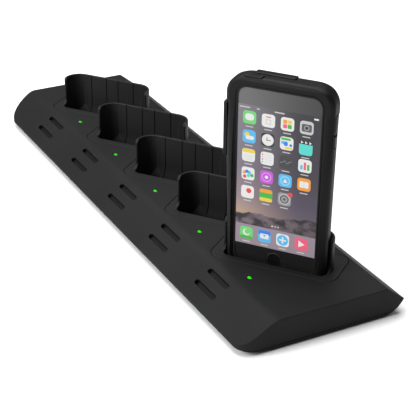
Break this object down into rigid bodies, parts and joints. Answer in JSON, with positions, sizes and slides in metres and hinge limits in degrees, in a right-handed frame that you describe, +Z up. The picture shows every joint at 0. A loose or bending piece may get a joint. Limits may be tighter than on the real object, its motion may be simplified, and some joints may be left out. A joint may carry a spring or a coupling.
{
  "type": "multi-bay charging dock",
  "caption": "Low charcoal desktop charging dock with a row of angled cradles, status lamps and vents, and a sleeved handset in the end bay.",
  "frame": {"origin": "under the middle of the dock, on the surface it stands on", "axes": "+X along the row of bays towards the occupied one, +Y to the rear, +Z up"},
  "size_m": [0.4334, 0.1278, 0.1571],
  "materials": {
    "cover": "fine matte texture",
    "tray": "matte",
    "board": "solder mask",
    "socket": "moulded",
    "insert": "satin",
    "contact_block": "moulded",
    "contact": "gold plated",
    "spring": "drawn strip",
    "lamp": "translucent green",
    "led": "moulded",
    "screw": "zinc plated",
    "foot": "matte",
    "sled": "satin",
    "sled_cap": "satin",
    "phone_shell": "bead blasted",
    "screen": "glass front with a lit home screen",
    "home_key": "polished",
    "keys": "satin",
    "scanner": "tinted window",
    "battery": "foil wrap"
  },
  "bodies": {
    "dock": {"top_cover": "cover", "base_tray": "tray", "main_board": "board", "power_inlet": "socket", "bay_insert_1": "insert", "contact_block_1": "contact_block", "contact_spring_1": "spring", "light_pipe_1": "lamp", "status_led_1": "led", "bay_insert_2": "insert", "contact_block_2": "contact_block", "contact_spring_2": "spring", "light_pipe_2": "lamp", "status_led_2": "led", "bay_insert_3": "insert", "contact_block_3": "contact_block", "contact_spring_3": "spring", "light_pipe_3": "lamp", "status_led_3": "led", "bay_insert_4": "insert", "contact_block_4": "contact_block", "contact_spring_4": "spring", "light_pipe_4": "lamp", "status_led_4": "led", "bay_insert_5": "insert", "contact_block_5": "contact_block", "contact_spring_5": "spring", "light_pipe_5": "lamp", "status_led_5": "led", "base_screw_1": "screw", "foot_1": "foot", "base_screw_2": "screw", "foot_2": "foot", "base_screw_3": "screw", "foot_3": "foot", "base_screw_4": "screw", "foot_4": "foot", "base_screw_5": "screw", "foot_5": "foot", "base_screw_6": "screw", "foot_6": "foot"},
    "handset": {"sled_sleeve": "sled", "sled_cap": "sled_cap", "phone_body": "phone_shell", "phone_display": "screen", "scanner_window": "scanner", "handset_battery": "battery"},
    "home_button": {"home_button": "home_key"},
    "top_key": {"top_key": "keys"},
    "side_key": {"side_key": "keys"},
    "trigger_key": {"trigger_key": "keys"},
    "contact_1": {"contact_plunger_1": "contact"},
    "contact_2": {"contact_plunger_2": "contact"},
    "contact_3": {"contact_plunger_3": "contact"},
    "contact_4": {"contact_plunger_4": "contact"},
    "contact_5": {"contact_plunger_5": "contact"}
  },
  "joints": [
    {"name": "handset_lift", "type": "slide", "parent": "dock", "child": "handset", "axis": [0, 0, 1], "range_m": [0, 0.14]},
    {"name": "home_press", "type": "slide", "parent": "handset", "child": "home_button", "axis": [-0.6157, 0.788, 0], "range_m": [0, 0.0003], "stiffness_N_per_m": 800, "springref_m": -0.0005},
    {"name": "top_key_press", "type": "slide", "parent": "handset", "child": "top_key", "axis": [0, 0, -1], "range_m": [0, 0.0006], "stiffness_N_per_m": 500, "springref_m": -0.001},
    {"name": "side_key_press", "type": "slide", "parent": "handset", "child": "side_key", "axis": [-0.788, -0.6157, 0], "range_m": [0, 0.0006], "stiffness_N_per_m": 500, "springref_m": -0.001},
    {"name": "trigger_press", "type": "slide", "parent": "handset", "child": "trigger_key", "axis": [0.788, 0.6157, 0], "range_m": [0, 0.0006], "stiffness_N_per_m": 500, "springref_m": -0.001},
    {"name": "contact_press_1", "type": "slide", "parent": "dock", "child": "contact_1", "axis": [0, 0, 1], "range_m": [-0.001, 0], "stiffness_N_per_m": 300, "springref_m": 0.001, "deforming": ["contact_spring_1"]},
    {"name": "contact_press_2", "type": "slide", "parent": "dock", "child": "contact_2", "axis": [0, 0, 1], "range_m": [-0.001, 0], "stiffness_N_per_m": 300, "springref_m": 0.001, "deforming": ["contact_spring_2"]},
    {"name": "contact_press_3", "type": "slide", "parent": "dock", "child": "contact_3", "axis": [0, 0, 1], "range_m": [-0.001, 0], "stiffness_N_per_m": 300, "springref_m": 0.001, "deforming": ["contact_spring_3"]},
    {"name": "contact_press_4", "type": "slide", "parent": "dock", "child": "contact_4", "axis": [0, 0, 1], "range_m": [-0.001, 0], "stiffness_N_per_m": 300, "springref_m": 0.001, "deforming": ["contact_spring_4"]},
    {"name": "contact_press_5", "type": "slide", "parent": "dock", "child": "contact_5", "axis": [0, 0, 1], "range_m": [-0.001, 0], "stiffness_N_per_m": 300, "springref_m": 0.001, "deforming": ["contact_spring_5"]}
  ]
}
